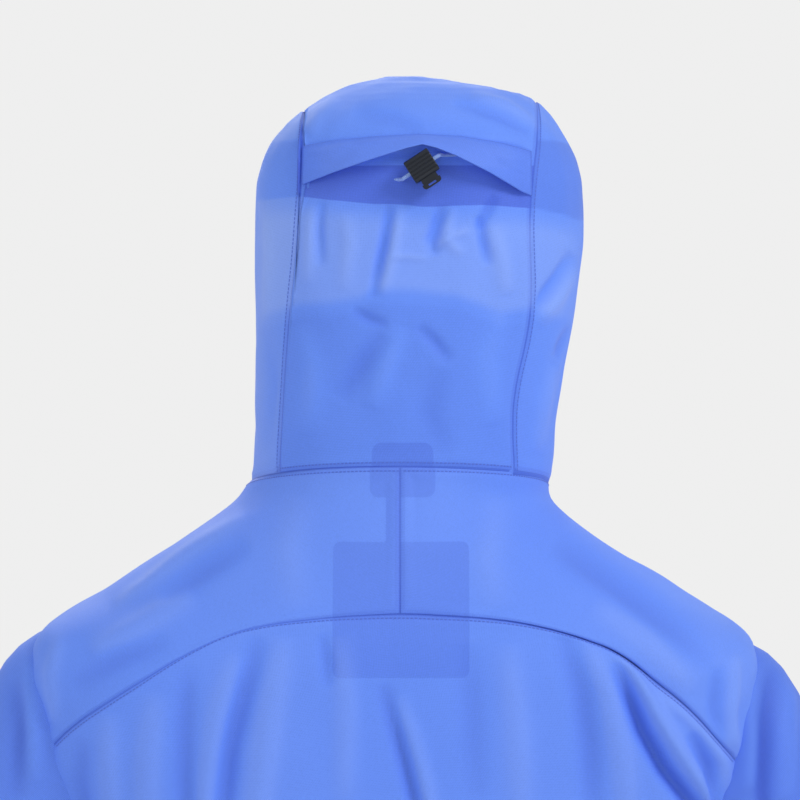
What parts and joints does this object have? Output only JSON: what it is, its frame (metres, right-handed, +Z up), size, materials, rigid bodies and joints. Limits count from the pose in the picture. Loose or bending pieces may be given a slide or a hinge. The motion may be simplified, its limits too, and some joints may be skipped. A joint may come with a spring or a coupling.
{
  "type": "hardshell jacket",
  "caption": "Hooded waterproof shell jacket with zips that run, swinging pulls, sprung cord locks, bending sleeves, peeling cuff tabs and a hood with a stiff peak.",
  "frame": {"origin": "under the middle of the bounding box, at the hem's resting plane", "axes": "+Z up the wearer's back, -Y out of the front, +X to the wearer's left"},
  "size_m": [0.9, 0.244, 1.008],
  "materials": {
    "shell_cloth": "ripstop weave, faint sheen",
    "hood_cloth": "ripstop weave, one layer, light shows through",
    "facing_cloth": "second layer of the same cloth",
    "zip_tape": "coated tape with moulded coils",
    "cord": "braided elastic cord",
    "hardware": "moulded, fine grain",
    "pull_rubber": "moulded over the puller",
    "slider_metal": "enamelled",
    "spring_steel": "drawn wire"
  },
  "bodies": {
    "shell": {"back_panel": "shell_cloth", "collar_left": "shell_cloth", "collar_right": "shell_cloth", "front_panel_left": "shell_cloth", "front_panel_right": "shell_cloth", "front_zip_box": "hardware", "front_zip_tape_left": "zip_tape", "front_zip_tape_right": "zip_tape", "hang_loop": "facing_cloth", "hem_band": "shell_cloth", "hem_cord": "cord", "hem_cordlock_left_body": "hardware", "hem_cordlock_left_cord": "cord", "hem_cordlock_right_body": "hardware", "hem_cordlock_right_cord": "cord", "hem_cordlock_springs": "spring_steel", "hem_facing": "facing_cloth", "neck_label": "facing_cloth", "pit_zip_left_tapes": "zip_tape", "pit_zip_right_tapes": "zip_tape", "pocket_bag_left": "facing_cloth", "pocket_bag_right": "facing_cloth", "pocket_zip_left_tapes": "zip_tape", "pocket_zip_right_tapes": "zip_tape", "sleeve_left_upper": "shell_cloth", "sleeve_right_upper": "shell_cloth", "storm_flap": "facing_cloth", "yoke_left": "shell_cloth", "yoke_right": "shell_cloth"},
    "forearm_left": {"sleeve_left_lower": "shell_cloth", "cuff_left": "shell_cloth", "cuff_loop_patch_left": "facing_cloth"},
    "forearm_right": {"sleeve_right_lower": "shell_cloth", "cuff_right": "shell_cloth", "cuff_loop_patch_right": "facing_cloth"},
    "cuff_tab_left": {"cuff_tab_left": "shell_cloth"},
    "cuff_tab_right": {"cuff_tab_right": "shell_cloth"},
    "hood": {"hood_centre_panel": "hood_cloth", "hood_side_left": "hood_cloth", "hood_side_right": "hood_cloth", "hood_face_binding": "facing_cloth", "hood_halo_band": "facing_cloth", "hood_rear_flap": "hood_cloth", "rear_cordlock_body": "hardware", "rear_adjuster_cord": "cord", "rear_cordlock_spring": "spring_steel"},
    "hood_brim": {"hood_brim": "hood_cloth"},
    "rear_cordlock_plunger": {"rear_cordlock_plunger": "hardware"},
    "hem_cordlock_left_plunger": {"hem_cordlock_left_plunger": "hardware"},
    "hem_cordlock_right_plunger": {"hem_cordlock_right_plunger": "hardware"},
    "front_zip_slider": {"front_zip_slider": "slider_metal"},
    "front_zip_pull": {"front_zip_pull": "pull_rubber"},
    "pocket_zip_left_slider": {"pocket_zip_left_slider": "slider_metal"},
    "pocket_zip_left_pull": {"pocket_zip_left_pull": "pull_rubber"},
    "pocket_zip_right_slider": {"pocket_zip_right_slider": "slider_metal"},
    "pocket_zip_right_pull": {"pocket_zip_right_pull": "pull_rubber"},
    "pit_zip_left_slider": {"pit_zip_left_slider": "slider_metal"},
    "pit_zip_left_pull": {"pit_zip_left_pull": "pull_rubber"},
    "pit_zip_right_slider": {"pit_zip_right_slider": "slider_metal"},
    "pit_zip_right_pull": {"pit_zip_right_pull": "pull_rubber"}
  },
  "joints": [
    {"name": "front_zip_slide", "type": "slide", "parent": "shell", "child": "front_zip_slider", "axis": [0, 0, -1], "range_m": [0, 0.745]},
    {"name": "front_zip_pull_swing", "type": "hinge", "parent": "front_zip_slider", "child": "front_zip_pull", "pos_m": [0, -0.1172, 0.7765], "axis": [-1, 0, 0], "range_deg": [0, 100]},
    {"name": "pocket_zip_left_slide", "type": "slide", "parent": "shell", "child": "pocket_zip_left_slider", "axis": [0, 0, -1], "range_m": [0, 0.154]},
    {"name": "pocket_zip_left_pull_swing", "type": "hinge", "parent": "pocket_zip_left_slider", "child": "pocket_zip_left_pull", "pos_m": [0.13617, -0.09338, 0.3775], "axis": [-0.9304, -0.3665, 0], "range_deg": [0, 100]},
    {"name": "pit_zip_left_slide", "type": "slide", "parent": "shell", "child": "pit_zip_left_slider", "axis": [0, 0, -1], "range_m": [0, 0.12]},
    {"name": "pit_zip_left_pull_swing", "type": "hinge", "parent": "pit_zip_left_slider", "child": "pit_zip_left_pull", "pos_m": [0.20228, -0.0523, 0.3325], "axis": [-0.7009, -0.7133, 0], "range_deg": [0, 100]},
    {"name": "pocket_zip_right_slide", "type": "slide", "parent": "shell", "child": "pocket_zip_right_slider", "axis": [0, 0, -1], "range_m": [0, 0.154]},
    {"name": "pocket_zip_right_pull_swing", "type": "hinge", "parent": "pocket_zip_right_slider", "child": "pocket_zip_right_pull", "pos_m": [-0.13617, -0.09338, 0.3775], "axis": [-0.9304, 0.3665, 0], "range_deg": [0, 100]},
    {"name": "pit_zip_right_slide", "type": "slide", "parent": "shell", "child": "pit_zip_right_slider", "axis": [0, 0, -1], "range_m": [0, 0.12]},
    {"name": "pit_zip_right_pull_swing", "type": "hinge", "parent": "pit_zip_right_slider", "child": "pit_zip_right_pull", "pos_m": [-0.20228, -0.0523, 0.3325], "axis": [-0.7009, 0.7133, 0], "range_deg": [0, 100]},
    {"name": "rear_cordlock_press", "type": "slide", "parent": "hood", "child": "rear_cordlock_plunger", "axis": [0.5446, 0, 0.8387], "range_m": [0, 0.003], "stiffness_N_per_m": 300, "springref_m": -0.002, "deforming": ["rear_cordlock_spring"]},
    {"name": "hem_cordlock_left_press", "type": "slide", "parent": "shell", "child": "hem_cordlock_left_plunger", "axis": [0, 0, -1], "range_m": [0, 0.003], "stiffness_N_per_m": 300, "springref_m": -0.002, "deforming": ["hem_cordlock_springs"]},
    {"name": "hem_cordlock_right_press", "type": "slide", "parent": "shell", "child": "hem_cordlock_right_plunger", "axis": [0, 0, -1], "range_m": [0, 0.003], "stiffness_N_per_m": 300, "springref_m": -0.002, "deforming": ["hem_cordlock_springs"]},
    {"name": "elbow_left", "type": "hinge", "parent": "shell", "child": "forearm_left", "pos_m": [0.34084, 0.004, 0.31012], "axis": [-0.8829, 0, -0.4695], "range_deg": [0, 45]},
    {"name": "cuff_tab_left_peel", "type": "hinge", "parent": "forearm_left", "child": "cuff_tab_left", "pos_m": [0.38598, -0.0184, 0.04671], "axis": [0.2347, -0.2419, -0.9415], "range_deg": [0, 70]},
    {"name": "elbow_right", "type": "hinge", "parent": "shell", "child": "forearm_right", "pos_m": [-0.34084, 0.004, 0.31012], "axis": [-0.8829, 0, 0.4695], "range_deg": [0, 45]},
    {"name": "cuff_tab_right_peel", "type": "hinge", "parent": "forearm_right", "child": "cuff_tab_right", "pos_m": [-0.38598, -0.0184, 0.04671], "axis": [0.2347, 0.2419, 0.9415], "range_deg": [0, 70]},
    {"name": "hood_push_back", "type": "hinge", "parent": "shell", "child": "hood", "pos_m": [0, 0.091, 0.738], "axis": [-1, 0, 0], "range_deg": [0, 20]},
    {"name": "brim_flip", "type": "hinge", "parent": "hood", "child": "hood_brim", "pos_m": [-0.0145, -0.0836, 0.996], "axis": [-1, 0, 0], "range_deg": [0, 50]}
  ]
}
